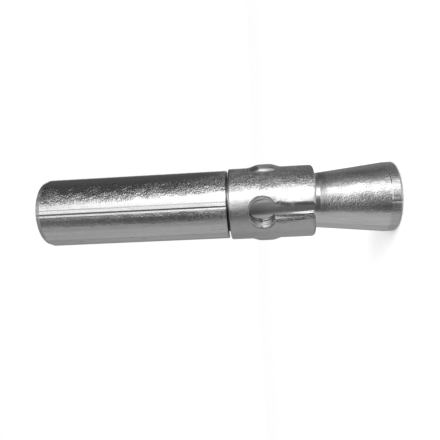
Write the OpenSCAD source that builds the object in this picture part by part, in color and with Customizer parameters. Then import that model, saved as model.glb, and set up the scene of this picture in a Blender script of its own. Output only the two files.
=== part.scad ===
// Internally threaded expansion anchor: a turned bolt with a blind threaded mouth, and a sprung clip on its neck
// Frame: +Z up along the axis, mouth up, cone end standing on z = 0, first keyhole of the clip facing -Y
// Units are millimetres

/* [Shank] */
// Diameter of the plain shank, under the 16 mm hole it goes into
shank_d = 15.4; // [14.6:0.1:16.2]
// Length of the plain shank, from the mouth down to the shoulder
shank_len = 42.1; // [38:0.1:60]
// Radial depth of the lead outside the mouth
mouth_lead = 0.35; // [0.2:0.05:0.6]
// Length of the lead outside the mouth
mouth_lead_len = 1; // [0.4:0.1:2]
// Edge break at the shoulder
shoulder_break = 0.25; // [0.1:0.05:0.5]

/* [Threaded mouth] */
// Major diameter of the internal thread
thread_d = 12; // [10:0.5:12.5]
// Depth of the threaded length below the mouth
thread_len = 26; // [20:0.5:28]
// Diameter of the tap drill below the thread
drill_d = 10.2; // [8.5:0.1:10.4]
// Depth to which the tap drill runs at its full diameter
drill_len = 31; // [29:0.5:33]
// Included angle of the drill point
drill_point = 118; // [90:1:140]
// Diameter of the countersink at the mouth
countersink_d = 12.9; // [12.6:0.1:14]

/* [Neck and cone] */
// Diameter of the neck that carries the clip
neck_d = 12.3; // [11.5:0.1:12.8]
// Length of the neck, from the cone up to the shoulder
neck_len = 19.6; // [19.2:0.1:24]
// Diameter of the cone's wide end
cone_d = 15.3; // [14.4:0.1:16]
// Length of the cone
cone_len = 14.4; // [10:0.1:20]
// Length of the plain land below the cone
land_len = 2; // [1:0.1:4]
// Rounding of the land's lower edge
end_round = 0.5; // [0.2:0.05:0.9]

/* [Clip band] */
// Length of the clip along the axis
clip_len = 18.1; // [14:0.1:18.4]
// Wall of the clip
clip_wall = 1.75; // [1.2:0.05:2]
// Radial clearance between the clip and the neck
clip_clearance = 0.1; // [0.04:0.02:0.2]
// Play between the clip and the shoulder
clip_play = 0.5; // [0.2:0.05:0.7]
// Edge break on the outer edges of the clip
clip_break = 0.25; // [0.1:0.05:0.5]
// Radial depth of the lead inside the finger tips
tip_lead = 0.35; // [0.1:0.05:0.6]
// Length of the lead inside the finger tips
tip_lead_len = 2.5; // [1:0.1:4]

/* [Keyholes] */
// Diameter of each round hole
hole_d = 5.4; // [4:0.1:5.6]
// Distance of the hole centres below the clip's upper edge
hole_drop = 6.9; // [5.5:0.1:8]
// Width of each slot where it meets the neck
slot_w = 2.2; // [1:0.1:2.8]
// Bevel along the outer edges of each slot
slot_bevel = 0.3; // [0.1:0.05:0.5]
// Width of the seam where the rolled clip closes
seam_w = 0.6; // [0.3:0.1:1]

/* [Grip nubs] */
// Length of each nub along the axis
nub_len = 6.9; // [5:0.1:8]
// Width of each nub round the band
nub_w = 5.4; // [4.4:0.1:6.4]
// Width of each nub's crest
nub_crest_w = 3; // [2:0.1:3.5]
// Height of each nub above the band
nub_rise = 0.7; // [0.3:0.05:0.9]
// Distance of the nubs' middles below the clip's upper edge
nub_drop = 7.8; // [7:0.1:9]

/* [Hidden] */
$fn = 96;
// Overshoot of a cut past the face it opens
cut_past = 1;
// Height of a nub's arch over its crest, which keeps the crest level in the middle
nub_crown = 0.1;

shank_r = shank_d / 2;
thread_r = thread_d / 2;
drill_r = drill_d / 2;
countersink_r = countersink_d / 2;
neck_r = neck_d / 2;
cone_r = cone_d / 2;

cone_top = land_len + cone_len;
shoulder_z = cone_top + neck_len;
mouth_z = shoulder_z + shank_len;
thread_floor = mouth_z - thread_len;
drill_floor = mouth_z - drill_len;
drill_tip = drill_floor - drill_r / tan(drill_point / 2);

clip_inner_r = neck_r + clip_clearance;
clip_outer_r = clip_inner_r + clip_wall;
clip_top = shoulder_z - clip_play;
clip_bottom = clip_top - clip_len;

hole_r = hole_d / 2;
hole_z = clip_top - hole_drop;
slot_half_angle = asin(slot_w / 2 / clip_inner_r);
slot_reach = clip_outer_r + cut_past;

nub_z = clip_top - nub_drop;
nub_top = clip_outer_r + nub_rise;
nub_peak = nub_top + nub_crown;
nub_foot = sqrt(pow(clip_outer_r, 2) - pow(nub_w / 2, 2));
nub_crest = sqrt(pow(nub_top, 2) - pow(nub_crest_w / 2, 2));
// Sideways run of a nub's flank for each millimetre that it drops
nub_run = (nub_w - nub_crest_w) / 2 / (nub_crest - nub_foot);
// Depth inside the wall at which a nub's flanks start, so that they leave the band all the way along
nub_root = clip_inner_r + clip_wall / 2;
nub_root_w = nub_w + 2 * nub_run * (nub_foot - nub_root);
nub_peak_w = nub_crest_w - 2 * nub_run * (nub_peak - nub_crest);
nub_sag = nub_rise + nub_crown;
nub_arch_r = (pow(nub_len / 2, 2) + pow(nub_sag, 2)) / (2 * nub_sag);

bolt_colour = [0.62, 0.62, 0.63];
clip_colour = [0.58, 0.58, 0.59];

// Half section of the bolt before it is drilled: land, cone, neck, shoulder and shank
module bolt_outline() {
    polygon([
        [0, 0],
        [cone_r - end_round, 0],
        [cone_r, end_round],
        [cone_r, land_len],
        [neck_r, cone_top],
        [neck_r, shoulder_z],
        [shank_r - shoulder_break, shoulder_z],
        [shank_r, shoulder_z + shoulder_break],
        [shank_r, mouth_z - mouth_lead_len],
        [shank_r - mouth_lead, mouth_z],
        [0, mouth_z]
    ]);
    translate([cone_r - end_round, end_round])
        circle(end_round);
}

// Half section of the blind hole: countersink, threaded length, tap drill and drill point
module bore_outline() {
    polygon([
        [0, drill_tip],
        [drill_r, drill_floor],
        [drill_r, thread_floor - (thread_r - drill_r)],
        [thread_r, thread_floor],
        [thread_r, mouth_z - (countersink_r - thread_r)],
        [countersink_r + cut_past, mouth_z + cut_past],
        [0, mouth_z + cut_past]
    ]);
}

// The turned bolt
module anchor_body() {
    color(bolt_colour)
        rotate_extrude()
            difference() {
                bolt_outline();
                bore_outline();
            }
}

// Half section of the clip's band, with a lead inside the finger tips
module band_outline() {
    polygon([
        [clip_inner_r + tip_lead, clip_bottom],
        [clip_outer_r - clip_break, clip_bottom],
        [clip_outer_r, clip_bottom + clip_break],
        [clip_outer_r, clip_top - clip_break],
        [clip_outer_r - clip_break, clip_top],
        [clip_inner_r, clip_top],
        [clip_inner_r, clip_bottom + tip_lead_len]
    ]);
}

// Nub pressed out of the band: flat flanks at its sides, an arch along it and a crest that follows the band
module grip_nub() {
    intersection() {
        translate([0, 0, nub_z - nub_len])
            linear_extrude(height = 2 * nub_len)
                polygon([
                    [-nub_root_w / 2, -nub_root],
                    [nub_root_w / 2, -nub_root],
                    [nub_peak_w / 2, -nub_peak],
                    [-nub_peak_w / 2, -nub_peak]
                ]);
        translate([0, nub_arch_r - nub_peak, nub_z])
            rotate([0, 90, 0])
                cylinder(r = nub_arch_r, h = 2 * nub_w, center = true);
        translate([0, 0, nub_z - nub_len])
            cylinder(r = nub_top, h = 2 * nub_len);
    }
}

// Cut for one keyhole: the round hole, the slot down to the finger tips and the bevels along the slot
module keyhole_cut() {
    slot_out = slot_reach * sin(slot_half_angle);
    slot_out_y = slot_reach * cos(slot_half_angle);
    bevel_root_y = (clip_outer_r - slot_bevel) * cos(slot_half_angle);
    bevel_root = (clip_outer_r - slot_bevel) * sin(slot_half_angle);
    bevel_rise = slot_out_y - bevel_root_y;
    translate([0, 0, hole_z])
        rotate([90, 0, 0])
            cylinder(r = hole_r, h = slot_reach);
    translate([0, 0, clip_bottom - cut_past])
        linear_extrude(height = hole_z - clip_bottom + cut_past)
            polygon([[0, 0], [slot_out, -slot_out_y], [-slot_out, -slot_out_y]]);
    translate([0, 0, clip_bottom - cut_past])
        linear_extrude(height = hole_z - clip_bottom + cut_past)
            polygon([
                [-bevel_root, -bevel_root_y],
                [bevel_root, -bevel_root_y],
                [bevel_root + bevel_rise, -slot_out_y],
                [-bevel_root - bevel_rise, -slot_out_y]
            ]);
}

// Cut for the seam, from the upper edge of the clip into the second keyhole
module seam_cut() {
    rotate([0, 0, 180])
        translate([-seam_w / 2, -slot_reach, hole_z])
            cube([seam_w, slot_reach, hole_drop + cut_past]);
}

// The sprung clip, rolled from sheet
module expansion_clip() {
    color(clip_colour)
        difference() {
            union() {
                rotate_extrude()
                    band_outline();
                for (turn = [90, 270])
                    rotate([0, 0, turn])
                        grip_nub();
            }
            for (turn = [0, 180])
                rotate([0, 0, turn])
                    keyhole_cut();
            seam_cut();
        }
}

anchor_body();
expansion_clip();
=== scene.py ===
# %% [markdown]
# # An expansion anchor with a threaded mouth
# The anchor is a turned steel bolt that stands on its cone end, and a sprung clip rolled from sheet
# round its neck. Everything here is in metres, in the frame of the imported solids: +Z up along the
# axis, the cone end on the floor, and the first keyhole of the clip towards -Y.

# %% Load the frame
import math

import bmesh
import bpy
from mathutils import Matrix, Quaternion, Vector, noise


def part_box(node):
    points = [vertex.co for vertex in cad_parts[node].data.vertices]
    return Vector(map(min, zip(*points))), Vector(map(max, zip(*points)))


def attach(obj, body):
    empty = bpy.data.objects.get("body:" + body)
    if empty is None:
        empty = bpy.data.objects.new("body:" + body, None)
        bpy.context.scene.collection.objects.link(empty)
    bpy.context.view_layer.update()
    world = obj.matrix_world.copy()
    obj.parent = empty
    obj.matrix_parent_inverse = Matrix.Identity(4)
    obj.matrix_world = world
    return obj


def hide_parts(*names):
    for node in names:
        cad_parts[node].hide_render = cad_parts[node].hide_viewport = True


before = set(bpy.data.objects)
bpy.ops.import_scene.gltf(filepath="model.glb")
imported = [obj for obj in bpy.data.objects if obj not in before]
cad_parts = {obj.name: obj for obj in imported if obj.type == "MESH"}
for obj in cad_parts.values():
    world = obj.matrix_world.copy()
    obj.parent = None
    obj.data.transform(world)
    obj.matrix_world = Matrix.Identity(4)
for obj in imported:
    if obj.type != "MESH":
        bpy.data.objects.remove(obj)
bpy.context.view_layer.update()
MM = 0.001

# %% Plain view settings
bpy.context.scene.view_settings.view_transform = "Standard"
print("view transform", bpy.context.scene.view_settings.view_transform)

# %% [markdown]
# ## The camera
# The photograph was taken from very close, about six shank diameters away, with the anchor lying
# across the picture. Here the anchor stands, so the camera is rolled a quarter turn and a little
# more. The place, aim and roll come from fitting a pinhole camera to the outline of the anchor.

# %% Place, aim and roll the camera
CAMERA_PLACE = Vector((27.47, -89.85, 30.72)) * MM
CAMERA_AIM = Vector((-3.25, -1.14, 38.26)) * MM
CAMERA_ROLL = math.radians(-92.72)
FOCAL_PX = 411.35
IMAGE_PX = 440
SENSOR_MM = 36.0

camera_data = bpy.data.cameras.new("camera")
camera_data.sensor_width = SENSOR_MM
camera_data.lens = SENSOR_MM * FOCAL_PX / IMAGE_PX
camera_data.clip_start = 1 * MM
camera = bpy.data.objects.new("camera", camera_data)
bpy.context.scene.collection.objects.link(camera)
camera.location = CAMERA_PLACE
camera.rotation_mode = "QUATERNION"
looking = (CAMERA_AIM - CAMERA_PLACE).to_track_quat("-Z", "Y")
camera.rotation_quaternion = looking @ Quaternion((0, 0, 1), CAMERA_ROLL)
bpy.context.scene.camera = camera
print("lens in mm", round(camera_data.lens, 2))

# %% [markdown]
# ## The floor and the light
# Metal has no colour of its own to show: it shows what stands round it. In the photograph the anchor
# mirrors a soft light above it, the dark side of the room with the lens in it, and a grey table. So a
# ring of panels stands round the anchor. Each form of the anchor leans a little differently and so
# mirrors another height of the ring, which is why the panels change with height. The camera doesn't
# see them, only the white behind them, and they light nothing but the metal's shine.

# %% Helpers for meshes and node trees
def object_from(bm, name):
    mesh = bpy.data.meshes.new(name)
    bm.to_mesh(mesh)
    bm.free()
    piece = bpy.data.objects.new(name, mesh)
    bpy.context.scene.collection.objects.link(piece)
    return piece


def new_material(name):
    material = bpy.data.materials.new(name)
    material.use_nodes = True
    material.node_tree.nodes.clear()
    return material, material.node_tree


def add_node(tree, kind, **settings):
    node = tree.nodes.new(kind)
    for key, value in settings.items():
        setattr(node, key, value)
    return node


# %% White world
world = bpy.data.worlds.new("white_room")
world.use_nodes = True
world.node_tree.nodes["Background"].inputs["Color"].default_value = (1, 1, 1, 1)
world.node_tree.nodes["Background"].inputs["Strength"].default_value = 1.0
bpy.context.scene.world = world
print("world", world.name)

# %% Pale floor
FLOOR_RADIUS = 4.0
FLOOR_SEGMENTS = 64
FLOOR_COLOUR = (0.985, 0.985, 0.985, 1)
bm = bmesh.new()
bmesh.ops.create_circle(bm, cap_ends=True, radius=FLOOR_RADIUS, segments=FLOOR_SEGMENTS)
floor = object_from(bm, "floor")
floor_paint, tree = new_material("pale_floor")
floor_diffuse = add_node(tree, "ShaderNodeBsdfDiffuse")
floor_diffuse.inputs["Color"].default_value = FLOOR_COLOUR
floor_out = add_node(tree, "ShaderNodeOutputMaterial")
tree.links.new(floor_diffuse.outputs["BSDF"], floor_out.inputs["Surface"])
floor.data.materials.append(floor_paint)
floor.visible_glossy = False
print("floor of", FLOOR_RADIUS, "m radius")

# %% Brightness of the panels, by angle from the camera's side towards the top of the picture
CONE_PANELS = [
    (-160, 0.16), (-128, 0.21), (-96, 0.245), (-72, 0.245), (-56, 0.225), (-48, 0.115), (-40, 0.05),
    (-24, 0.045), (-8, 0.055), (0, 0.08), (8, 0.14), (16, 0.28), (23, 0.9), (46, 0.9), (51, 0.36),
    (58, 0.19), (72, 0.11), (88, 0.07), (104, 0.062), (120, 0.095), (140, 0.12),
]
LAND_PANELS = [
    (-160, 0.15), (-120, 0.17), (-104, 0.2), (-64, 0.2), (-56, 0.15), (-48, 0.1), (-40, 0.085), (-24, 0.1),
    (-14, 0.2), (0, 0.28), (8, 0.29), (16, 0.36), (24, 0.48), (30, 0.8), (38, 0.7), (48, 0.36), (56, 0.26),
    (64, 0.18), (72, 0.13), (80, 0.09), (112, 0.09), (140, 0.12),
]
CLIP_PANELS = [
    (-160, 0.145), (-128, 0.17), (-104, 0.205), (-75, 0.215), (-64, 0.2), (-56, 0.18), (-48, 0.155),
    (-32, 0.18), (-24, 0.26), (-16, 0.31), (-8, 0.39), (0, 0.6), (6, 0.9), (52, 0.9), (58, 0.5),
    (64, 0.42), (74, 0.37), (88, 0.29), (104, 0.19), (140, 0.145),
]
SHANK_PANELS = [
    (-160, 0.12), (-128, 0.185), (-96, 0.228), (-80, 0.226), (-72, 0.2), (-58, 0.18), (-54, 0.11),
    (-48, 0.105), (-43, 0.05), (-32, 0.05), (-19, 0.06), (-16, 0.3), (-12, 0.42), (6, 0.48),
    (16, 0.62), (20, 0.9), (38, 0.9), (43, 0.12), (52, 0.055), (76, 0.045), (96, 0.038), (120, 0.045),
    (150, 0.05),
]
MOUTH_PANELS = [
    (-160, 0.12), (-128, 0.16), (-96, 0.2), (-80, 0.21), (-58, 0.18), (-48, 0.14), (-42, 0.08),
    (-22, 0.08), (-16, 0.16), (-8, 0.25), (2, 0.37), (10, 0.5), (13, 0.66), (18, 0.66), (22, 0.3),
    (30, 0.17), (48, 0.1), (56, 0.07), (64, 0.05), (80, 0.045), (96, 0.035), (120, 0.045), (150, 0.05),
]
HIGH_PANELS = [(-160, 0.12), (-20, 0.14), (-6, 0.2), (0, 0.27), (80, 0.25), (130, 0.16), (150, 0.12)]
LOW_PANELS = [(-160, 0.15), (-20, 0.17), (10, 0.3), (70, 0.3), (140, 0.12)]
BACK_PANELS = [(160, 0.1), (168, 0.5), (186, 0.5), (194, 0.15)]
print("stops in the panel lists", len(CONE_PANELS), len(CLIP_PANELS), len(SHANK_PANELS), len(MOUTH_PANELS))

# %% Helpers for the panels
CAMERA_AZIMUTH = 17.0
QUARTER_TURN = 90
FULL_TURN = 360


def panel_place(angle):
    """Where an angle lies on the radial gradient, from nought to one."""
    return ((angle + CAMERA_AZIMUTH - QUARTER_TURN) / FULL_TURN + 0.5) % 1.0


def panel_ramp(tree, angle, panels):
    """A colour ramp round the ring with one stop for each panel edge."""
    ramp = add_node(tree, "ShaderNodeValToRGB")
    stops = sorted((panel_place(turn), value) for turn, value in panels + BACK_PANELS)
    elements = ramp.color_ramp.elements
    for place, _ in stops[2:]:
        elements.new(place)
    for element, (place, value) in zip(elements, stops):
        element.position = place
        element.color = (value, value, value, 1)
    tree.links.new(angle, ramp.inputs["Fac"])
    return ramp.outputs["Color"]


def change_over(tree, height, low, high, below, above):
    """Changes from the colour below to the colour above between two heights in metres."""
    share = add_node(tree, "ShaderNodeMapRange", interpolation_type="SMOOTHSTEP")
    share.inputs["From Min"].default_value = low
    share.inputs["From Max"].default_value = high
    tree.links.new(height, share.inputs["Value"])
    blend = add_node(tree, "ShaderNodeMix", data_type="RGBA")
    tree.links.new(share.outputs["Result"], blend.inputs["Factor"])
    tree.links.new(below, blend.inputs["A"])
    tree.links.new(above, blend.inputs["B"])
    return blend.outputs["Result"]


# %% Heights in metres between which each list of panels takes over from the one below it
PANEL_CHANGES = [
    (LAND_PANELS, -0.3, -0.2),
    (CONE_PANELS, -0.11, -0.08),
    (CLIP_PANELS, 0.0, 0.045),
    (SHANK_PANELS, 0.055, 0.065),
    (MOUTH_PANELS, 0.12, 0.3),
    (HIGH_PANELS, 0.45, 0.55),
]

# %% Ring of panels
PANEL_RADIUS = 0.4
PANEL_HEIGHT = 3.0
PANEL_SEGMENTS = 96
PANEL_STRENGTH = 2.4
bm = bmesh.new()
bmesh.ops.create_cone(
    bm, cap_ends=False, segments=PANEL_SEGMENTS, radius1=PANEL_RADIUS, radius2=PANEL_RADIUS,
    depth=PANEL_HEIGHT
)
panels = object_from(bm, "panel_ring")
panel_paint, tree = new_material("panel_light")
panel_coordinate = add_node(tree, "ShaderNodeTexCoord").outputs["Object"]
panel_height = add_node(tree, "ShaderNodeSeparateXYZ")
tree.links.new(panel_coordinate, panel_height.inputs["Vector"])
panel_angle = add_node(tree, "ShaderNodeTexGradient", gradient_type="RADIAL")
tree.links.new(panel_coordinate, panel_angle.inputs["Vector"])
panel_light = panel_ramp(tree, panel_angle.outputs["Fac"], LOW_PANELS)
for panel_list, low, high in PANEL_CHANGES:
    light_above = panel_ramp(tree, panel_angle.outputs["Fac"], panel_list)
    panel_light = change_over(tree, panel_height.outputs["Z"], low, high, panel_light, light_above)
panel_glow = add_node(tree, "ShaderNodeEmission")
panel_glow.inputs["Strength"].default_value = PANEL_STRENGTH
tree.links.new(panel_light, panel_glow.inputs["Color"])
panel_out = add_node(tree, "ShaderNodeOutputMaterial")
tree.links.new(panel_glow.outputs["Emission"], panel_out.inputs["Surface"])
panels.data.materials.append(panel_paint)
panels.visible_camera = False
panels.visible_diffuse = False
panels.visible_transmission = False
panels.visible_shadow = False
print("panel ring with", 1 + len(PANEL_CHANGES), "lists of panels")

# %% Soft lamp for the shadow on the floor
LAMP_SIZE = 0.25
LAMP_POWER = 0.6
LAMP_PLACE = Vector((0.18, -0.12, 0.28))
lamp_data = bpy.data.lights.new("soft_lamp", "AREA")
lamp_data.shape = "DISK"
lamp_data.size = LAMP_SIZE
lamp_data.energy = LAMP_POWER
lamp = bpy.data.objects.new("soft_lamp", lamp_data)
bpy.context.scene.collection.objects.link(lamp)
lamp.location = LAMP_PLACE
lamp.rotation_mode = "QUATERNION"
lamp.rotation_quaternion = (-LAMP_PLACE).to_track_quat("-Z", "Y")
lamp.visible_glossy = False
lamp.visible_camera = False
print("soft lamp of", LAMP_POWER, "W")

# %% [markdown]
# ## Bright zinc over drawn steel
# The bolt is cut from drawn bar and plated. The shank and the short land at the cone end still have
# the skin of the bar: long streaks, straight draw marks, a few scratches, and on one side a coarse
# grain that comes and goes in patches. The cone was turned, and its grain is shallower. Painted shade
# darkens one side of the neck under the clip, the top of the cone beside the finger tips and the gap
# under the shoulder, and painted light brightens the neck inside the clip. All of it is a chain of
# bumps and a chain of greys on Object coordinates, so it stays on the metal, and the shine breaks up
# as it does on the real bolt. The clip has its own zinc, made in the same way, with a painted shade
# on its lower side.

# %% Helpers for the chains
NOISE_LOW = 0.35
NOISE_HIGH = 0.65
PATCH_WEAK = 0.6
PATCH_STRONG = 1.35


def noise_on(tree, coordinate, scale, detail=2.0, roughness=0.5):
    """A noise whose scale is in waves per millimetre along x, y and z."""
    stretch = add_node(tree, "ShaderNodeMapping")
    stretch.inputs["Scale"].default_value = tuple(s / MM for s in scale)
    texture = add_node(tree, "ShaderNodeTexNoise")
    texture.inputs["Scale"].default_value = 1.0
    texture.inputs["Detail"].default_value = detail
    texture.inputs["Roughness"].default_value = roughness
    tree.links.new(coordinate, stretch.inputs["Vector"])
    tree.links.new(stretch.outputs["Vector"], texture.inputs["Vector"])
    return texture.outputs["Fac"]


def add_bump(tree, height, depth_mm, below=None):
    """A bump of that depth on top of the bumps below it."""
    bump = add_node(tree, "ShaderNodeBump")
    bump.inputs["Strength"].default_value = 1.0
    bump.inputs["Distance"].default_value = depth_mm * MM
    tree.links.new(height, bump.inputs["Height"])
    if below is not None:
        tree.links.new(below, bump.inputs["Normal"])
    return bump.outputs["Normal"]


def ramp_between(tree, value, low, high, at_low, at_high):
    """Maps a value that runs from low to high onto numbers from at_low to at_high."""
    spread = add_node(tree, "ShaderNodeMapRange", interpolation_type="SMOOTHSTEP")
    spread.inputs["From Min"].default_value = low
    spread.inputs["From Max"].default_value = high
    spread.inputs["To Min"].default_value = at_low
    spread.inputs["To Max"].default_value = at_high
    tree.links.new(value, spread.inputs["Value"])
    return spread.outputs["Result"]


def combine(tree, operation, first, second):
    result = add_node(tree, "ShaderNodeMath", operation=operation)
    tree.links.new(first, result.inputs[0])
    tree.links.new(second, result.inputs[1])
    return result.outputs["Value"]


def reach_along(tree, coordinate, direction):
    """How far a point lies along a direction, in metres from the axis."""
    reach = add_node(tree, "ShaderNodeVectorMath", operation="DOT_PRODUCT")
    reach.inputs[1].default_value = direction
    tree.links.new(coordinate, reach.inputs[0])
    return reach.outputs["Value"]


def towards(angle):
    """The direction at that angle round the axis, from -Y towards +X."""
    turn = math.radians(angle)
    return Vector((math.sin(turn), -math.cos(turn), 0))


def profile_ramp(tree, value, stops):
    """A curve over a reach, as (reach in millimetres, height) stops."""
    low = stops[0][0]
    high = stops[-1][0]
    share = add_node(tree, "ShaderNodeMapRange")
    share.inputs["From Min"].default_value = low * MM
    share.inputs["From Max"].default_value = high * MM
    tree.links.new(value, share.inputs["Value"])
    ramp = add_node(tree, "ShaderNodeValToRGB")
    elements = ramp.color_ramp.elements
    for place, _ in stops[2:]:
        elements.new((place - low) / (high - low))
    for element, (place, height) in zip(elements, stops):
        element.position = (place - low) / (high - low)
        element.color = (height, height, height, 1)
    tree.links.new(share.outputs["Result"], ramp.inputs["Fac"])
    return ramp.outputs["Color"]


def only_where(tree, mask, height, level):
    """The height where the mask is one, and an even level where it is nought."""
    blend = add_node(tree, "ShaderNodeMix", data_type="RGBA")
    blend.inputs["A"].default_value = (level, level, level, 1)
    tree.links.new(mask, blend.inputs["Factor"])
    tree.links.new(height, blend.inputs["B"])
    return blend.outputs["Result"]


def times(tree, first, second):
    return combine(tree, "MULTIPLY", first, second)


def band(tree, reach, low, high, at_low=0.0, at_high=1.0):
    """Goes from at_low to at_high while a reach goes from low to high, in millimetres."""
    return ramp_between(tree, reach, low * MM, high * MM, at_low, at_high)


def shade(tree, value, mask, least):
    """The whole value where the mask is nought, and only that share of it where the mask is one."""
    return times(tree, value, ramp_between(tree, mask, 0.0, 1.0, 1.0, least))


def in_patches(tree, strength, patches):
    """A strength of grain that is weak in some patches and strong in others."""
    change = ramp_between(tree, patches, NOISE_LOW, NOISE_HIGH, PATCH_WEAK, PATCH_STRONG)
    return times(tree, strength, change)


def metal(tree, dull, normal):
    """A metal with that roughness and normal, put out as the material's surface."""
    shader = add_node(tree, "ShaderNodeBsdfPrincipled")
    shader.inputs["Metallic"].default_value = 1.0
    tree.links.new(dull, shader.inputs["Roughness"])
    tree.links.new(normal, shader.inputs["Normal"])
    surface = add_node(tree, "ShaderNodeOutputMaterial")
    tree.links.new(shader.outputs["BSDF"], surface.inputs["Surface"])
    return shader


# %% Where the bolt still has the skin of the bar
SHOULDER_Z = 36.0
SHOULDER_FADE = 0.4
LAND_TOP = 2.0
LAND_FADE = 0.3
body_zinc, tree = new_material("body_zinc")
place = add_node(tree, "ShaderNodeTexCoord").outputs["Object"]
up_axis = reach_along(tree, place, (0, 0, 1))
on_shank = band(tree, up_axis, SHOULDER_Z, SHOULDER_Z + SHOULDER_FADE)
on_land = band(tree, up_axis, LAND_TOP, LAND_TOP + LAND_FADE, 1.0, 0.0)
skin = combine(tree, "MAXIMUM", on_shank, on_land)
print("skin of the bar above", SHOULDER_Z, "mm and below", LAND_TOP, "mm")

# %% Which side of the shank is coarse, with a weaker strip of grain under the draw marks
COARSE_ANGLE = CAMERA_AZIMUTH + 60
COARSE_TWIST = Vector((0, 0, 0.0163))
COARSE_LOW = 6.0
COARSE_HIGH = 7.05
COARSE_FLOOR = 0.18
STRIP_ANGLE = CAMERA_AZIMUTH - 15
STRIP_LOW = 7.45
STRIP_HIGH = 7.62
STRIP_GRAIN = 0.33
FRONT_LOW = 4.2
FRONT_HIGH = 5.6
BACK_GRAIN = 0.2
PATCH_SCALE = (0.7, 0.7, 0.4)
coarse_reach = reach_along(tree, place, towards(COARSE_ANGLE) + COARSE_TWIST)
coarse = band(tree, coarse_reach, COARSE_LOW, COARSE_HIGH, COARSE_FLOOR, 1.0)
strip_reach = reach_along(tree, place, towards(STRIP_ANGLE))
in_strip = band(tree, strip_reach, STRIP_LOW, STRIP_HIGH, 0.0, STRIP_GRAIN)
coarse = combine(tree, "MAXIMUM", coarse, in_strip)
facing = reach_along(tree, place, towards(CAMERA_AZIMUTH))
coarse = times(tree, coarse, band(tree, facing, FRONT_LOW, FRONT_HIGH, BACK_GRAIN, 1.0))
patches = noise_on(tree, place, PATCH_SCALE)
coarse = times(tree, in_patches(tree, coarse, patches), on_shank)
print("coarse side at", COARSE_ANGLE, "degrees")

# %% Which side of the cone shows the grain of the turned steel
CONE_GRAIN_ANGLE = CAMERA_AZIMUTH + 25
CONE_GRAIN_LOW = 3.4
CONE_GRAIN_HIGH = 5.4
CONE_TOP_LOW = 15.6
CONE_TOP_HIGH = 16.4
cone_reach = reach_along(tree, place, towards(CONE_GRAIN_ANGLE))
on_cone = band(tree, cone_reach, CONE_GRAIN_LOW, CONE_GRAIN_HIGH)
on_cone = times(tree, on_cone, band(tree, up_axis, CONE_TOP_LOW, CONE_TOP_HIGH, 1.0, 0.0))
on_cone = in_patches(tree, on_cone, patches)
print("grain of the cone at", CONE_GRAIN_ANGLE, "degrees")

# %% Streaks and grain of the bolt
STREAK_SCALE = (1.6, 1.6, 0.02)
STREAK_DETAIL = 3.0
STREAK_DEPTH = 0.03
GRAIN_SCALE = (3.3, 3.3, 2.8)
GRAIN_DEPTH = 0.13
TURNING_SCALE = (2.7, 2.7, 3.6)
TURNING_DEPTH = 0.05
GRAIN_ROUGHNESS = 0.6
streaks = noise_on(tree, place, STREAK_SCALE, detail=STREAK_DETAIL, roughness=GRAIN_ROUGHNESS)
grain = noise_on(tree, place, GRAIN_SCALE, roughness=GRAIN_ROUGHNESS)
turning = noise_on(tree, place, TURNING_SCALE, roughness=GRAIN_ROUGHNESS)
shine = add_bump(tree, times(tree, streaks, skin), STREAK_DEPTH)
print("streaks", STREAK_DEPTH, "mm deep")

# %% Draw marks along the front of the shank and of the land
MARK_PROFILE = [
    (-1.4, 0.5), (-0.38, 0.5), (-0.06, 0.0), (0.02, 0.0), (0.36, 0.66), (0.62, 0.5),
    (0.9, 0.36), (1.02, 0.33), (1.2, 0.5), (1.4, 0.5),
]
MARK_LEVEL = 0.5
MARKED_LOW = 7.1
MARKED_HIGH = 7.3
SHANK_MARK_ANGLE = CAMERA_AZIMUTH - 4
SHANK_MARK_DEPTH = 0.12
LAND_MARK_ANGLE = CAMERA_AZIMUTH - 8
LAND_MARK_DEPTH = 0.1
marked = band(tree, facing, MARKED_LOW, MARKED_HIGH)
draw_marks = [
    (SHANK_MARK_ANGLE, on_shank, SHANK_MARK_DEPTH),
    (LAND_MARK_ANGLE, on_land, LAND_MARK_DEPTH),
]
for angle, where, depth in draw_marks:
    beside = reach_along(tree, place, towards(angle + QUARTER_TURN))
    marks = only_where(tree, marked, profile_ramp(tree, beside, MARK_PROFILE), MARK_LEVEL)
    shine = add_bump(tree, times(tree, marks, where), depth, shine)
shine = add_bump(tree, times(tree, grain, coarse), GRAIN_DEPTH, shine)
shine = add_bump(tree, times(tree, turning, on_cone), TURNING_DEPTH, shine)
print("draw marks", len(draw_marks), "at", [angle for angle, where, depth in draw_marks], "degrees")

# %% Grey of the bolt along its axis in millimetres, with painted light on the neck inside the clip, painted shade in the gap under the shoulder, and dark flecks in the grain
AXIS_GREYS_WITH_PAINTED_LIGHT = [
    (0, 0.62), (16.2, 0.62), (16.5, 0.6), (17.2, 0.62), (18.0, 0.95), (21, 0.95), (25, 0.77),
    (28.6, 0.58), (34.6, 0.45), (36.0, 0.45), (36.45, 0.62), (80, 0.62),
]
FLECK_LOW = 0.42
FLECK_HIGH = 0.6
CONE_FLECKS = 0.35
FLECK_SHADE = 0.52
STREAK_DARK = 0.95
STREAK_LIGHT = 1.05
shank_flecks = times(tree, ramp_between(tree, grain, FLECK_LOW, FLECK_HIGH, 1.0, 0.0), coarse)
cone_flecks = times(tree, ramp_between(tree, turning, FLECK_LOW, FLECK_HIGH, CONE_FLECKS, 0.0), on_cone)
flecks = combine(tree, "ADD", shank_flecks, cone_flecks)
body_grey = shade(tree, profile_ramp(tree, up_axis, AXIS_GREYS_WITH_PAINTED_LIGHT), flecks, FLECK_SHADE)
streak_grey = ramp_between(tree, streaks, NOISE_LOW, NOISE_HIGH, STREAK_DARK, STREAK_LIGHT)
body_grey = times(tree, body_grey, streak_grey)
print("grey along the axis in", len(AXIS_GREYS_WITH_PAINTED_LIGHT), "stops")
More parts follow.
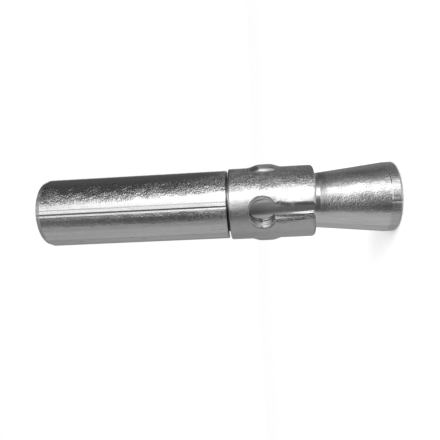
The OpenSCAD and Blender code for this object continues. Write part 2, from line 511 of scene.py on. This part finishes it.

# %% Painted shade on the side of the neck that is up in the camera's view, under the clip and on the top of the cone beside the finger tips
NECK_PAINTED_SHADE = [
    (0, 0), (11, 0), (14.5, 0.35), (16.3, 0.85), (16.5, 0), (24, 0.05), (26, 0.25), (28.5, 0.6), (31, 1),
    (35.3, 1), (35.6, 0), (80, 0),
]
NECK_SHADE_LOW = -2.9
NECK_SHADE_HIGH = -2.2
NECK_SHADE_LEAST = 0.4
upper_reach = reach_along(tree, place, towards(CAMERA_AZIMUTH + QUARTER_TURN))
neck_shade = times(tree, profile_ramp(tree, up_axis, NECK_PAINTED_SHADE), band(tree, upper_reach, NECK_SHADE_LOW, NECK_SHADE_HIGH))
body_grey = shade(tree, body_grey, neck_shade, NECK_SHADE_LEAST)
print("film along the axis in", len(NECK_PAINTED_SHADE), "stops")

# %% Painted shade in the gap under the shoulder, most of it on the side that is down in the camera's view
GAP_PAINTED_SHADE = [(0, 0), (34.6, 0), (35.3, 1), (36.0, 1), (36.05, 0.5), (36.45, 0), (80, 0)]
GAP_SHADE_LOW = -5.0
GAP_SHADE_HIGH = 4.5
GAP_SHADE_LEAST = 0.08
gap_shaded_side = band(tree, upper_reach, GAP_SHADE_LOW, GAP_SHADE_HIGH, 1.0, 0.0)
gap_shade = times(tree, profile_ramp(tree, up_axis, GAP_PAINTED_SHADE), gap_shaded_side)
body_grey = shade(tree, body_grey, gap_shade, GAP_SHADE_LEAST)
print("dirt along the axis in", len(GAP_PAINTED_SHADE), "stops")

# %% Short scratches on that side of the shank
SCRATCH_SCALE = (2.0, 2.0, 0.45)
SCRATCH_LOW = 0.68
SCRATCH_HIGH = 0.74
SCRATCH_SHADE = 0.7
LOW_SIDE_FULL = -3.0
LOW_SIDE_END = -1.5
scratches = noise_on(tree, place, SCRATCH_SCALE, detail=1.0)
scratches = ramp_between(tree, scratches, SCRATCH_LOW, SCRATCH_HIGH, 0.0, 1.0)
low_side = band(tree, upper_reach, LOW_SIDE_FULL, LOW_SIDE_END, 1.0, 0.0)
scratches = times(tree, scratches, times(tree, low_side, on_shank))
body_grey = shade(tree, body_grey, scratches, SCRATCH_SHADE)
print("scratches with a shade of", SCRATCH_SHADE)

# %% Shader of the bolt, which is smoother on that side
CLOUD_SCALE = (0.35, 0.35, 0.12)
CLOUD_DETAIL = 3.0
BODY_SMOOTH = 0.1
BODY_DULL = 0.17
LOW_SIDE_POLISH = 0.6
cloud = noise_on(tree, place, CLOUD_SCALE, detail=CLOUD_DETAIL)
dull = ramp_between(tree, cloud, NOISE_LOW, NOISE_HIGH, BODY_SMOOTH, BODY_DULL)
dull = shade(tree, dull, low_side, LOW_SIDE_POLISH)
body_shader = metal(tree, dull, shine)
tree.links.new(body_grey, body_shader.inputs["Base Color"])
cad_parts["anchor_body"].data.materials.clear()
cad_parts["anchor_body"].data.materials.append(body_zinc)
print("body zinc", len(tree.nodes), "nodes")

# %% Zinc on the clip: dents, and a grain on one side that leaves the nubs out
DENT_SCALE = (0.6, 0.6, 0.5)
DENT_DEPTH = 0.025
CLIP_GRAIN_SCALE = (3.2, 3.2, 2.9)
CLIP_GRAIN_DEPTH = 0.09
CLIP_COARSE_LOW = 5.39
CLIP_COARSE_HIGH = 6.776
CLIP_COARSE_FLOOR = 0.22
NUB_GRAIN_LOW = 8.04
NUB_GRAIN_HIGH = 8.14
NUB_GRAIN = 0.1
CLIP_PATCH_SCALE = (0.7, 0.7, 0.5)
clip_zinc, tree = new_material("clip_zinc")
place = add_node(tree, "ShaderNodeTexCoord").outputs["Object"]
coarse_reach = reach_along(tree, place, towards(COARSE_ANGLE))
coarse = band(tree, coarse_reach, CLIP_COARSE_LOW, CLIP_COARSE_HIGH, CLIP_COARSE_FLOOR, 1.0)
flat_place = add_node(tree, "ShaderNodeVectorMath", operation="MULTIPLY")
flat_place.inputs[1].default_value = (1, 1, 0)
tree.links.new(place, flat_place.inputs[0])
from_axis = add_node(tree, "ShaderNodeVectorMath", operation="LENGTH")
tree.links.new(flat_place.outputs["Vector"], from_axis.inputs[0])
off_nub = band(tree, from_axis.outputs["Value"], NUB_GRAIN_LOW, NUB_GRAIN_HIGH, 1.0, NUB_GRAIN)
patches = noise_on(tree, place, CLIP_PATCH_SCALE)
coarse = in_patches(tree, times(tree, coarse, off_nub), patches)
grain = noise_on(tree, place, CLIP_GRAIN_SCALE, roughness=GRAIN_ROUGHNESS)
shine = add_bump(tree, noise_on(tree, place, DENT_SCALE), DENT_DEPTH)
shine = add_bump(tree, times(tree, grain, coarse), CLIP_GRAIN_DEPTH, shine)
print("grain of the clip", CLIP_GRAIN_DEPTH, "mm deep")

# %% Fine steps in the sheet's skin
HAIR_SCALE = (0.5, 0.5, 0.35)
HAIR_LOW = 0.5
HAIR_HIGH = 0.508
HAIR_DEPTH = 0.01
hairs = noise_on(tree, place, HAIR_SCALE, detail=1.0)
shine = add_bump(tree, ramp_between(tree, hairs, HAIR_LOW, HAIR_HIGH, 0.0, 1.0), HAIR_DEPTH, shine)
print("steps in the skin", HAIR_DEPTH, "mm high")

# %% Torn line along the lower edge of the front slot
TORN_WAY = (1, 0, 0.05)
TORN_LINE = [(-1.6, 0), (-0.85, 0), (-0.6, 1), (-0.4, 1), (-0.25, 0), (0.6, 0)]
TORN_SCALE = (2.6, 2.6, 1.3)
TORN_NOISE_LOW = 0.42
TORN_NOISE_HIGH = 0.52
TORN_TOP_LOW = 26.6
TORN_TOP_HIGH = 27.4
TORN_FRONT_LOW = 4.0
TORN_FRONT_HIGH = 5.0
TORN_DEPTH = 0.06
torn_line = profile_ramp(tree, reach_along(tree, place, TORN_WAY), TORN_LINE)
torn_noise = noise_on(tree, place, TORN_SCALE, roughness=GRAIN_ROUGHNESS)
torn = times(tree, torn_line, ramp_between(tree, torn_noise, TORN_NOISE_LOW, TORN_NOISE_HIGH, 0.0, 1.0))
clip_up = reach_along(tree, place, (0, 0, 1))
torn = times(tree, torn, band(tree, clip_up, TORN_TOP_LOW, TORN_TOP_HIGH, 1.0, 0.0))
clip_front = reach_along(tree, place, (0, -1, 0))
torn = times(tree, torn, band(tree, clip_front, TORN_FRONT_LOW, TORN_FRONT_HIGH))
shine = add_bump(tree, torn, TORN_DEPTH, shine)
print("torn line", TORN_DEPTH, "mm high")

# %% Grey and shader of the clip, with a painted shade that darkens its lower side
CLIP_GREY = 0.62
CLIP_FLECK_SHADE = 0.66
TORN_SHADE = 0.35
CLIP_PAINTED_LOW_SHADE = 0.8
CLIP_PAINTED_SHADE_FROM = -3.2
CLIP_PAINTED_SHADE_TO = 2.0
CLIP_CLOUD_SCALE = (0.4, 0.4, 0.3)
CLIP_SMOOTH = 0.16
CLIP_DULL = 0.25
flecks = times(tree, ramp_between(tree, grain, FLECK_LOW, FLECK_HIGH, 1.0, 0.0), coarse)
clip_grey = ramp_between(tree, flecks, 0.0, 1.0, CLIP_GREY, CLIP_FLECK_SHADE * CLIP_GREY)
clip_grey = shade(tree, clip_grey, torn, TORN_SHADE)
# Painted shade: the side of the clip that is down in the camera's view is made darker.
upper_reach = reach_along(tree, place, towards(CAMERA_AZIMUTH + QUARTER_TURN))
painted_lower_shade = band(tree, upper_reach, CLIP_PAINTED_SHADE_FROM, CLIP_PAINTED_SHADE_TO, CLIP_PAINTED_LOW_SHADE, 1.0)
clip_grey = times(tree, clip_grey, painted_lower_shade)
cloud = noise_on(tree, place, CLIP_CLOUD_SCALE, detail=CLOUD_DETAIL)
dull = ramp_between(tree, cloud, NOISE_LOW, NOISE_HIGH, CLIP_SMOOTH, CLIP_DULL)
clip_shader = metal(tree, dull, shine)
tree.links.new(clip_grey, clip_shader.inputs["Base Color"])
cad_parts["expansion_clip"].data.materials.clear()
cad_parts["expansion_clip"].data.materials.append(clip_zinc)
print("clip zinc", len(tree.nodes), "nodes")

# %% Zinc on the sheared walls of the clip, with the small tears that the punch leaves
SHEARED_GREY = 0.6
TEAR_SCALE = (3.0, 3.0, 3.0)
TEAR_DETAIL = 3.0
TEAR_ROUGHNESS = 0.7
TEAR_DEPTH = 0.02
SHEARED_SMOOTH = 0.12
SHEARED_DULL = 0.24
sheared_zinc, tree = new_material("sheared_zinc")
place = add_node(tree, "ShaderNodeTexCoord").outputs["Object"]
tears = noise_on(tree, place, TEAR_SCALE, detail=TEAR_DETAIL, roughness=TEAR_ROUGHNESS)
shine = add_bump(tree, tears, TEAR_DEPTH)
dull = ramp_between(tree, tears, NOISE_LOW, NOISE_HIGH, SHEARED_SMOOTH, SHEARED_DULL)
sheared_shader = metal(tree, dull, shine)
sheared_shader.inputs["Base Color"].default_value = (SHEARED_GREY, SHEARED_GREY, SHEARED_GREY, 1)
print("sheared zinc", len(tree.nodes), "nodes")

# %% [markdown]
# ## The clip
# The real clip is a strip of sheet. Two keyholes are punched, which bends their edges over and leaves
# a torn ledge in their walls, a grip nub is pressed out half way between them, and then the strip is
# rolled round the neck until its ends meet at the back. The same order works here. Half of one
# keyhole is drawn as a chain of vertices, and extruding that chain sideways in rows gives a strip of
# quads that follows the keyhole. A mirror and copies make the flat strip, an extrude gives it its
# wall, and a last move rolls it up.

# %% Sizes of the clip in millimetres
CLIP_LOW, CLIP_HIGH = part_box("expansion_clip")
CLIP_BOTTOM = CLIP_LOW[2] / MM
CLIP_TOP = CLIP_HIGH[2] / MM
CLIP_OUTER = 8.0
CLIP_INNER = 6.25
HOLE_RADIUS = 2.9
HOLE_STRETCH = 1.09
HOLE_DROP = 6.9
HOLE_Z = CLIP_TOP - HOLE_DROP
SLOT_INNER_HALF = 1.1
SLOT_HALF = CLIP_OUTER * math.asin(SLOT_INNER_HALF / CLIP_INNER)
SEAM_HALF = 0.3
QUARTER = CLIP_OUTER * math.pi / 2
print("clip from", round(CLIP_BOTTOM, 2), "to", round(CLIP_TOP, 2), "mm, quarter strip", round(QUARTER, 2))

# %% Half of one keyhole, as a chain from the top of the hole to the finger tip
ARC_STEPS = 30
SLOT_STEPS = 44
HOLE_HALF_WIDTH = HOLE_RADIUS * HOLE_STRETCH
JUNCTION = -math.acos(SLOT_HALF / HOLE_HALF_WIDTH)
TIP_CROWDING = 1.6
TIP_REACH = 0.1
TIP = CLIP_BOTTOM - TIP_REACH - HOLE_Z
keyhole_chain = []
for step in range(ARC_STEPS + 1):
    turn = math.pi / 2 + (JUNCTION - math.pi / 2) * step / ARC_STEPS
    keyhole_chain.append(Vector((HOLE_HALF_WIDTH * math.cos(turn), HOLE_RADIUS * math.sin(turn))))
slot_top = keyhole_chain[-1].y
for step in range(1, SLOT_STEPS + 1):
    share = 1 - (1 - step / SLOT_STEPS) ** TIP_CROWDING
    keyhole_chain.append(Vector((SLOT_HALF, slot_top + (TIP - slot_top) * share)))
print("chain of", len(keyhole_chain), "points")

# %% The far side of the half strip, one point for each point of the chain
TOP_STEPS = 14
TOP_REACH = 0.3
strip_top = CLIP_TOP + TOP_REACH - HOLE_Z
far_side = []
for step in range(TOP_STEPS + 1):
    far_side.append(Vector((QUARTER * step / TOP_STEPS, strip_top)))
side_steps = ARC_STEPS - TOP_STEPS
for step in range(1, side_steps + 1):
    far_side.append(Vector((QUARTER, strip_top + (slot_top - strip_top) * step / side_steps)))
for point in keyhole_chain[ARC_STEPS + 1:]:
    far_side.append(Vector((QUARTER, point.y)))
print("far side of", len(far_side), "points")

# %% Rows of the strip: close together at the punched edge, wider towards the far side
EDGE_ROWS = [0.05, 0.12, 0.22, 0.36, 0.54, 0.76, 1.02, 1.32, 1.66]
CHAIN_DIGITS = 6
FAR_ROWS = [0.08, 0.18, 0.3, 0.42, 0.52, 0.6, 0.66, 0.71, 0.76, 0.81, 0.86, 0.91, 0.96, 1.0]


def row_points(rows_out):
    """The chain moved away from the keyhole, level below the hole's middle and along its radius above."""
    moved = []
    for point in keyhole_chain:
        away = Vector((point.x, max(point.y, 0.0))).normalized()
        moved.append(point + away * rows_out)
    return moved


rows = [keyhole_chain] + [row_points(distance) for distance in EDGE_ROWS]
last_edge_row = rows[-1]
for share in FAR_ROWS:
    rows.append([near.lerp(far, share) for near, far in zip(last_edge_row, far_side)])

bm = bmesh.new()
chain = [bm.verts.new((point.x, 0, point.y)) for point in rows[0]]
edges = [bm.edges.new(pair) for pair in zip(chain, chain[1:])]
for row in rows[1:]:
    order = {vert.co.to_tuple(CHAIN_DIGITS): place for place, vert in enumerate(chain)}
    grown = bmesh.ops.extrude_edge_only(bm, edges=edges)["geom"]
    fresh = [item for item in grown if isinstance(item, bmesh.types.BMVert)]
    fresh.sort(key=lambda vert: order[vert.co.to_tuple(CHAIN_DIGITS)])
    for vert, point in zip(fresh, row):
        vert.co = (point.x, 0, point.y)
    edges = [bm.edges.get(pair) for pair in zip(fresh, fresh[1:])]
    chain = fresh
print("half keyhole", len(bm.verts), "vertices", len(bm.faces), "faces")

# %% Mirror and copy the half keyhole into a flat strip, cut at the back
MERGE_DISTANCE = 0.0005
half_keyhole = bm.verts[:] + bm.edges[:] + bm.faces[:]


def copy_half(middle, flip):
    """One more half keyhole, with its middle line at that distance along the strip."""
    copied = bmesh.ops.duplicate(bm, geom=half_keyhole)["geom"]
    moved = [item for item in copied if isinstance(item, bmesh.types.BMVert)]
    if flip:
        bmesh.ops.scale(bm, vec=(-1, 1, 1), verts=moved)
    bmesh.ops.translate(bm, vec=(middle, 0, 0), verts=moved)


copy_half(-2 * QUARTER, flip=False)
copy_half(0, flip=True)
copy_half(0, flip=False)
copy_half(2 * QUARTER, flip=True)
first_verts = [item for item in half_keyhole if isinstance(item, bmesh.types.BMVert)]
bmesh.ops.delete(bm, geom=first_verts, context="VERTS")
bmesh.ops.remove_doubles(bm, verts=bm.verts[:], dist=MERGE_DISTANCE)
print("flat strip", len(bm.verts), "vertices", len(bm.faces), "faces")

# %% Open the seam: the two ends of the strip stop short of each other
SEAM_BLEND = 1.5
strip_half = 2 * QUARTER
for vert in bm.verts:
    left = strip_half - abs(vert.co.x)
    if left < SEAM_BLEND:
        left = SEAM_HALF + left * (SEAM_BLEND - SEAM_HALF) / SEAM_BLEND
        vert.co.x = math.copysign(strip_half - left, vert.co.x)
print("seam of", 2 * SEAM_HALF, "mm")

# %% Give the strip its wall, and find the edges that cross the walls of the keyholes
SHEARED_SLOT = 1
ON_EDGE = 0.01


def nearest_hole(along):
    return along - 2 * QUARTER * round(along / (2 * QUARTER))


def from_keyhole(across, up):
    """How far a point of the flat strip lies from the edge of the nearest keyhole."""
    if up < slot_top:
        return abs(across) - SLOT_HALF
    return math.hypot(across / HOLE_STRETCH, up) - HOLE_RADIUS


outer_side = bm.verts[:]
walled = bmesh.ops.extrude_face_region(bm, geom=bm.faces[:])["geom"]
inner_side = [item for item in walled if isinstance(item, bmesh.types.BMVert)]
inner_verts = set(inner_side)
for face in bm.faces:
    inner_corners = sum(vert in inner_verts for vert in face.verts)
    if 0 < inner_corners < len(face.verts):
        face.material_index = SHEARED_SLOT
wall_edges = []
for edge in bm.edges:
    first, second = edge.verts
    crosses = (first in inner_verts) != (second in inner_verts)
    if crosses and from_keyhole(nearest_hole(first.co.x), first.co.z) < ON_EDGE:
        wall_edges.append(edge)
print("walled strip", len(bm.verts), "vertices", len(bm.faces), "faces,", len(wall_edges), "wall edges")

# %% Heights of the outer face: pressed nubs, bent punched edges, flat free edges
NUB_RISE = 0.69
NUB_DROP = 7.8
NUB_UP = CLIP_TOP - NUB_DROP - HOLE_Z
NUB_CREST_HALF = (1.65, 1.4)
NUB_FOOT_HALF = (2.5, 3.7)
NUB_SOFTNESS = 0.35
HOLE_BEVEL_ENDS = 0.15
HOLE_BEVEL_SIDES = 0.54
HOLE_BEVEL_SLOPE = 1.15
SLOT_BEVEL_WIDTHS = {1: 1.15, -1: 1.3}
SLOT_BEVEL_SLOPES = {1: 0.38, -1: 0.14}
SLOT_BEVEL_TIP = 0.12
SLOT_BEVEL_RUN_IN = 0.8
SLOT_BEVEL_START = 0.25
SLOT_RAGGED = 0.4
SLOT_RAGGED_SCALE = 1.9
LIP_RISE = 0.045
LIP_WIDTH = 0.25
LIP_SHIFT = 0.8
TOP_ROUND = (0.35, 0.8)
TIP_ROUND = (0.8, 0.4)
FLAT_SHARE = 0.5
FLAT_WIDTH = 3.5
FLAT_RUN_IN = 4.0
FLAT_REACH = 7.98


def ease(share):
    share = min(max(share, 0.0), 1.0)
    return share * share * (3 - 2 * share)


def rounded(distance, width, steepness):
    """How far a rounded edge has dropped at that distance from it."""
    share = 1 - min(max(distance / width, 0.0), 1.0)
    return steepness * width * (1 - math.sqrt(1 - share * share))


def nub_height(across, up):
    """Height of the nearest nub, which sits half way between two keyholes."""
    beside = abs(QUARTER - abs(across))
    along = abs(up - NUB_UP)
    shares = []
    for distance, crest, foot in zip((beside, along), NUB_CREST_HALF, NUB_FOOT_HALF):
        shares.append(max(distance - crest, 0.0) / (foot - crest))
    flank = min(max(1 - math.hypot(shares[0], shares[1]), 0.0), 1.0)
    return NUB_RISE * (flank + (ease(flank) - flank) * NUB_SOFTNESS)


def keyhole_bevel(across, up):
    """Drop of the face at the bent edge of a keyhole, with a low lip beside the wide bevel of a slot."""
    distance = from_keyhole(across, up)
    if up >= slot_top:
        sideways = min(abs(across) / HOLE_HALF_WIDTH, 1.0)
        width = HOLE_BEVEL_ENDS + (HOLE_BEVEL_SIDES - HOLE_BEVEL_ENDS) * sideways * sideways
        return HOLE_BEVEL_SLOPE * max(width - distance, 0.0)
    below = (slot_top - up) / (slot_top - TIP)
    side = 1 if across > 0 else -1
    run_in = ease((slot_top - up) / SLOT_BEVEL_RUN_IN)
    width = SLOT_BEVEL_WIDTHS[side]
    width = (width + (SLOT_BEVEL_TIP - width) * below) * (SLOT_BEVEL_START + (1 - SLOT_BEVEL_START) * run_in)
    if side < 0:
        width *= 1 + SLOT_RAGGED * noise.noise((0, 0, up * SLOT_RAGGED_SCALE))
    from_crest = (distance - width) / LIP_WIDTH - LIP_SHIFT
    lip = LIP_RISE * run_in * (1 - below) * math.exp(-from_crest * from_crest)
    return SLOT_BEVEL_SLOPES[side] * max(width - distance, 0.0) - lip


def sheet_height(across, up):
    """How far the outer face stands off the band, across and up from the middle of the nearest hole."""
    ends = rounded(strip_top - up, *TOP_ROUND) + rounded(up - TIP, *TIP_ROUND)
    from_slot = max(FLAT_WIDTH + SLOT_HALF - across, 0.0) if across > 0 else 0.0
    flat = FLAT_SHARE * from_slot * from_slot / (2 * CLIP_OUTER) * ease((slot_top - up) / FLAT_RUN_IN)
    drop = keyhole_bevel(across, up) + ends
    level = max(FLAT_REACH / math.cos(min(abs(across) / CLIP_OUTER, 1.0)) - CLIP_OUTER, 0.0)
    return nub_height(across, up) + min(flat - drop, level)


# %% Roll the strip round the neck
TIP_LEAD = 0.35
TIP_LEAD_LENGTH = 2.5
TOP_TILT = 0.1
TILT_ANGLE = math.radians(CAMERA_AZIMUTH + QUARTER_TURN)
CORNER_RISE = 0.35
CORNER_WIDTH = 4.0
CORNER_LENGTH = 4.0
SLOT_CLOSING = 0.45
CLOSING_WIDTH = 2.0


def put_round(vert, radius):
    """Moves a vertex of the flat strip to its place on the rolled one, with short corners at the slots."""
    angle = vert.co.x / CLIP_OUTER
    beside_slot = abs(nearest_hole(vert.co.x)) - SLOT_HALF
    corner = CORNER_RISE * ease(1 - beside_slot / CORNER_WIDTH) * ease(1 - (vert.co.z - TIP) / CORNER_LENGTH)
    tilt = TOP_TILT * math.cos(angle - TILT_ANGLE) * ease(vert.co.z / strip_top)
    height = HOLE_Z + vert.co.z + corner + tilt
    vert.co = Vector((radius * math.sin(angle), -radius * math.cos(angle), height)) * MM


def closing(across, up):
    """How far the lower edge of a slot leans in, more and more towards the finger tip."""
    if across > 0:
        return 0.0
    below = max((slot_top - up) / (slot_top - TIP), 0.0)
    return SLOT_CLOSING * below * ease(1 + (SLOT_HALF + across) / CLOSING_WIDTH)


for vert in inner_side:
    put_round(vert, CLIP_INNER + TIP_LEAD * max(0.0, 1 - (vert.co.z - TIP) / TIP_LEAD_LENGTH))
for vert in outer_side:
    across = nearest_hole(vert.co.x)
    height = sheet_height(across, vert.co.z)
    vert.co.x += closing(across, vert.co.z)
    put_round(vert, CLIP_OUTER + height)
bmesh.ops.recalc_face_normals(bm, faces=bm.faces[:])

# %% Leave a torn ledge in the walls of the keyholes
LEDGE_DEPTH = 0.57
LEDGE_STEP = 0.32
LEDGE_RAGGED = 0.22
RAGGED_SCALE = 2.3
LEDGE_CUTS = 2
cut = bmesh.ops.subdivide_edges(bm, edges=wall_edges, cuts=LEDGE_CUTS)["geom_inner"]
ledge_verts = [item for item in cut if isinstance(item, bmesh.types.BMVert)]
bm.normal_update()
ledge_places = []
for vert in ledge_verts:
    ragged = noise.noise(vert.co * RAGGED_SCALE / MM) * LEDGE_RAGGED
    ends = [edge.other_vert(vert) for edge in vert.link_edges]
    inner_end = [other for other in ends if other in inner_verts]
    wall_faces = [face.normal for face in vert.link_faces if face.material_index == SHEARED_SLOT]
    into_hole = sum(wall_faces, Vector()).normalized()
    radial = Vector((vert.co.x, vert.co.y, 0)).normalized()
    level = CLIP_OUTER - (CLIP_OUTER - CLIP_INNER) * LEDGE_DEPTH + ragged
    if inner_end:
        ledge_places.append(radial * (level - LEDGE_STEP) * MM + Vector((0, 0, vert.co.z))
                            + into_hole * (LEDGE_STEP + ragged) * MM)
    else:
        ledge_places.append(radial * level * MM + Vector((0, 0, vert.co.z)))
for vert, spot in zip(ledge_verts, ledge_places):
    vert.co = spot
print("ledge", len(ledge_verts), "vertices")

# %% Break the punched edges, smooth the sheet and set it on the clip's body
EDGE_BREAK = 0.1
EDGE_SEGMENTS = 2
SHARP = math.radians(50)
sharp_edges = [edge for edge in bm.edges if edge.calc_face_angle(0) > SHARP]
bmesh.ops.bevel(
    bm, geom=sharp_edges, offset=EDGE_BREAK * MM, offset_type="OFFSET", affect="EDGES",
    segments=EDGE_SEGMENTS, profile=0.5, material=-1, clamp_overlap=True
)
for face in bm.faces:
    face.smooth = True
clip = object_from(bm, "rolled_clip")
soften = clip.modifiers.new("soften", "SUBSURF")
soften.levels = 1
soften.render_levels = 1
clip.data.materials.append(clip_zinc)
clip.data.materials.append(sheared_zinc)
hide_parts("expansion_clip")
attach(clip, "clip")
print("rolled clip", len(clip.data.vertices), "vertices", len(clip.data.polygons), "faces")

# %% [markdown]
# ## The internal thread
# A tap cuts a 60 degree groove up the hole, and what stands between the turns is the ridge that the
# bolt engages. The hole's wall is already at the thread's major radius, so only the ridge is added: a
# small trapezium that is spun round the axis and lifted by one pitch a turn, which is what the dvec
# of the spin operator does. It fades into the wall at both ends, as a thread runs out.

# %% Sizes of the thread in millimetres
THREAD_PITCH = 1.75
WALL_RADIUS = 6.03
CREST_RADIUS = 5.06
ROOT_HALF = 0.77
CREST_HALF = 0.22
MOUTH_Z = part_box("anchor_body")[1][2] / MM
THREAD_DEPTH = 25.0
THREAD_START = MOUTH_Z - THREAD_DEPTH
THREAD_TURNS = 13.3
STEPS_A_TURN = 56
RUN_OUT_TURNS = 0.6
THREAD_SHARP = math.radians(25)

# %% Spin the ridge up the hole
bm = bmesh.new()
profile = [
    (WALL_RADIUS, -ROOT_HALF),
    (CREST_RADIUS, -CREST_HALF),
    (CREST_RADIUS, CREST_HALF),
    (WALL_RADIUS, ROOT_HALF),
]
corners = [bm.verts.new((radius * MM, 0, (THREAD_START + height) * MM)) for radius, height in profile]
loop = [bm.edges.new(pair) for pair in zip(corners, corners[1:] + corners[:1])]
thread_steps = round(THREAD_TURNS * STEPS_A_TURN)
bmesh.ops.spin(
    bm, geom=corners + loop, cent=(0, 0, 0), axis=(0, 0, 1), angle=2 * math.pi * THREAD_TURNS,
    steps=thread_steps, dvec=(0, 0, THREAD_PITCH * THREAD_TURNS / thread_steps * MM)
)
bmesh.ops.holes_fill(bm, edges=[edge for edge in bm.edges if edge.is_boundary], sides=len(profile))

# %% Let the ridge run out into the wall at both ends
bm.verts.ensure_lookup_table()
for place, vert in enumerate(bm.verts):
    turns = place // len(profile) / STEPS_A_TURN
    share = ease(min(turns, THREAD_TURNS - turns) / RUN_OUT_TURNS)
    radius = math.hypot(vert.co.x, vert.co.y)
    grown = WALL_RADIUS * MM - (WALL_RADIUS * MM - radius) * share
    vert.co.x *= grown / radius
    vert.co.y *= grown / radius
bmesh.ops.recalc_face_normals(bm, faces=bm.faces[:])
for face in bm.faces:
    face.smooth = True
thread = object_from(bm, "thread_ridge")
thread.data.set_sharp_from_angle(angle=THREAD_SHARP)
thread.data.materials.append(body_zinc)
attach(thread, "anchor")
print("thread ridge", len(thread.data.vertices), "vertices, top at", round(MOUTH_Z, 2), "mm")
